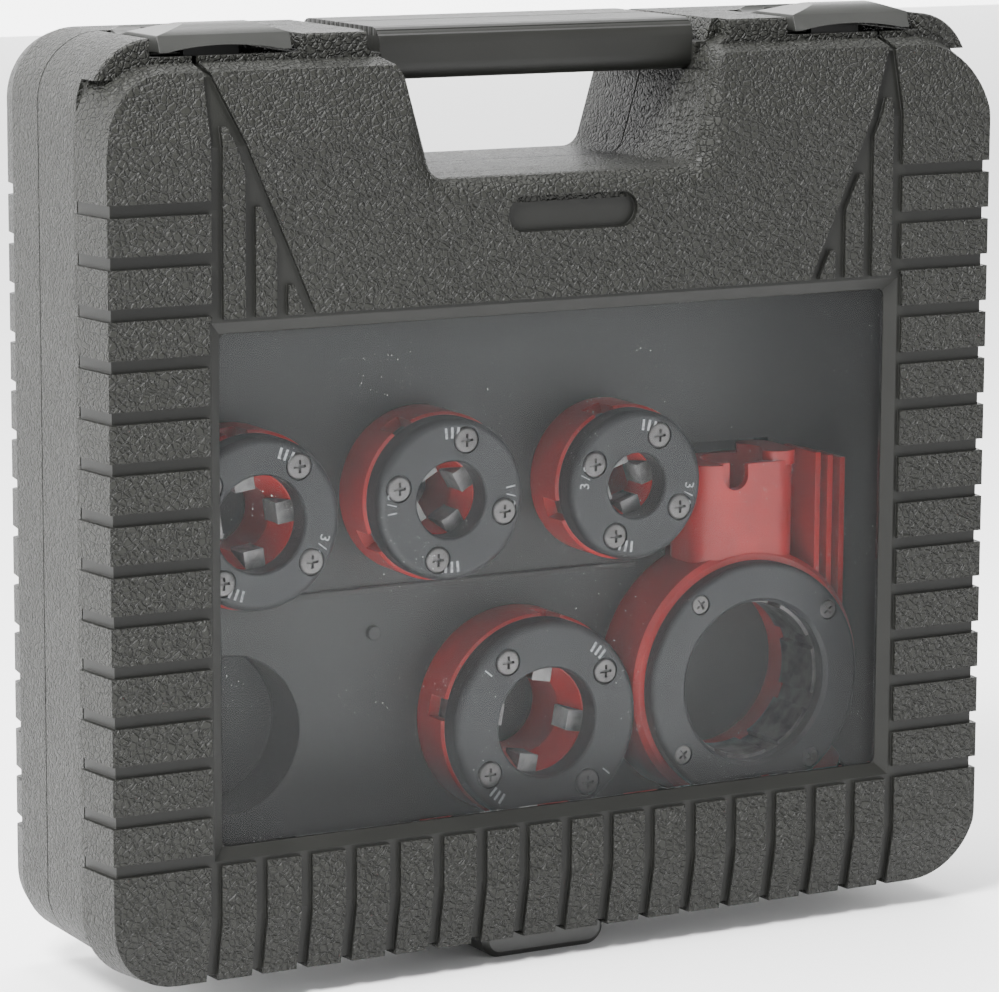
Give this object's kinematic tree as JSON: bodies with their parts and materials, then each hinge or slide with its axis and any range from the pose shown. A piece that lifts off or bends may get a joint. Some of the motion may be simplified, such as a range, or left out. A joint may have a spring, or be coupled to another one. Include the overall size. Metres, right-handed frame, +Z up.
{
  "type": "ratchet pipe threading set in a carrying case",
  "caption": "Ribbed plastic carrying case with a clear window in its lid, holding a ratchet head, die heads for threading pipe and a bar handle in a moulded tray.",
  "frame": {"origin": "middle of the footprint, on the plane that the case stands on", "axes": "+X to the right seen from the lid, +Y from the lid to the back, +Z up towards the carrying handle"},
  "size_m": [0.415, 0.104, 0.3926],
  "materials": {
    "case_plastic": "leather-grained blow-moulded plastic",
    "smooth_plastic": "smooth satin moulded plastic",
    "tray_plastic": "smooth thermoformed sheet",
    "clear_window": "smoky clear sheet",
    "red_casting": "red paint on a casting",
    "black_cover": "black paint on cast steel",
    "tool_steel": "ground steel",
    "dark_screws": "black oxide",
    "plated_steel": "zinc plated",
    "grip_rubber": "matt rubber"
  },
  "bodies": {
    "case_back": {"rear_shell": "case_plastic", "tool_tray": "tray_plastic", "hinge_leaf_rear": "smooth_plastic", "hinge_pin": "plated_steel"},
    "lid": {"lid_shell": "case_plastic", "window_pane": "clear_window", "hinge_leaf_lid": "smooth_plastic"},
    "left_latch": {"latch_left": "smooth_plastic"},
    "right_latch": {"latch_right": "smooth_plastic"},
    "die_head_three_quarter": {"die_body_three_quarter": "red_casting", "die_cover_three_quarter": "black_cover", "chasers_three_quarter": "tool_steel", "die_screws_three_quarter": "dark_screws"},
    "die_head_half": {"die_body_half": "red_casting", "die_cover_half": "black_cover", "chasers_half": "tool_steel", "die_screws_half": "dark_screws"},
    "die_head_three_eighth": {"die_body_three_eighth": "red_casting", "die_cover_three_eighth": "black_cover", "chasers_three_eighth": "tool_steel", "die_screws_three_eighth": "dark_screws"},
    "die_head_one_inch": {"die_body_one_inch": "red_casting", "die_cover_one_inch": "black_cover", "chasers_one_inch": "tool_steel", "die_screws_one_inch": "dark_screws"},
    "ratchet_head": {"ratchet_housing": "red_casting", "ratchet_cover": "black_cover", "ratchet_screws": "dark_screws", "pawl_spring": "plated_steel"},
    "drive_wheel": {"ratchet_wheel": "tool_steel"},
    "pawl": {"ratchet_pawl": "tool_steel", "pawl_knob": "black_cover"},
    "bar_handle": {"handle_tube": "plated_steel", "handle_grip": "grip_rubber"}
  },
  "joints": [
    {"name": "lid_hinge", "type": "hinge", "parent": "case_back", "child": "lid", "pos_m": [0, 0.014, 0.006], "axis": [1, 0, 0], "range_deg": [0, 110]},
    {"name": "left_latch_hinge", "type": "hinge", "parent": "case_back", "child": "left_latch", "pos_m": [-0.1455, 0.02, 0.383], "axis": [-1, 0, 0], "range_deg": [0, 95]},
    {"name": "right_latch_hinge", "type": "hinge", "parent": "case_back", "child": "right_latch", "pos_m": [0.1455, 0.02, 0.383], "axis": [-1, 0, 0], "range_deg": [0, 95]},
    {"name": "die_head_three_quarter_lift", "type": "slide", "parent": "case_back", "child": "die_head_three_quarter", "axis": [0, -1, 0], "range_m": [0, 0.018]},
    {"name": "die_head_half_lift", "type": "slide", "parent": "case_back", "child": "die_head_half", "axis": [0, -1, 0], "range_m": [0, 0.018]},
    {"name": "die_head_three_eighth_lift", "type": "slide", "parent": "case_back", "child": "die_head_three_eighth", "axis": [0, -1, 0], "range_m": [0, 0.018]},
    {"name": "die_head_one_inch_lift", "type": "slide", "parent": "case_back", "child": "die_head_one_inch", "axis": [0, -1, 0], "range_m": [0, 0.018]},
    {"name": "ratchet_head_lift", "type": "slide", "parent": "case_back", "child": "ratchet_head", "axis": [0, -1, 0], "range_m": [0, 0.018]},
    {"name": "drive_wheel_spin", "type": "hinge", "parent": "ratchet_head", "child": "drive_wheel", "pos_m": [0.111, 0, 0.102], "axis": [0, -1, 0], "continuous": true},
    {"name": "pawl_pull", "type": "slide", "parent": "ratchet_head", "child": "pawl", "axis": [0.7071, 0, -0.7071], "range_m": [0, 0.004], "stiffness_N_per_m": 1500, "springref_m": -0.004, "deforming": ["pawl_spring"]},
    {"name": "bar_handle_lift", "type": "slide", "parent": "case_back", "child": "bar_handle", "axis": [0, -1, 0], "range_m": [0, 0.03]}
  ]
}
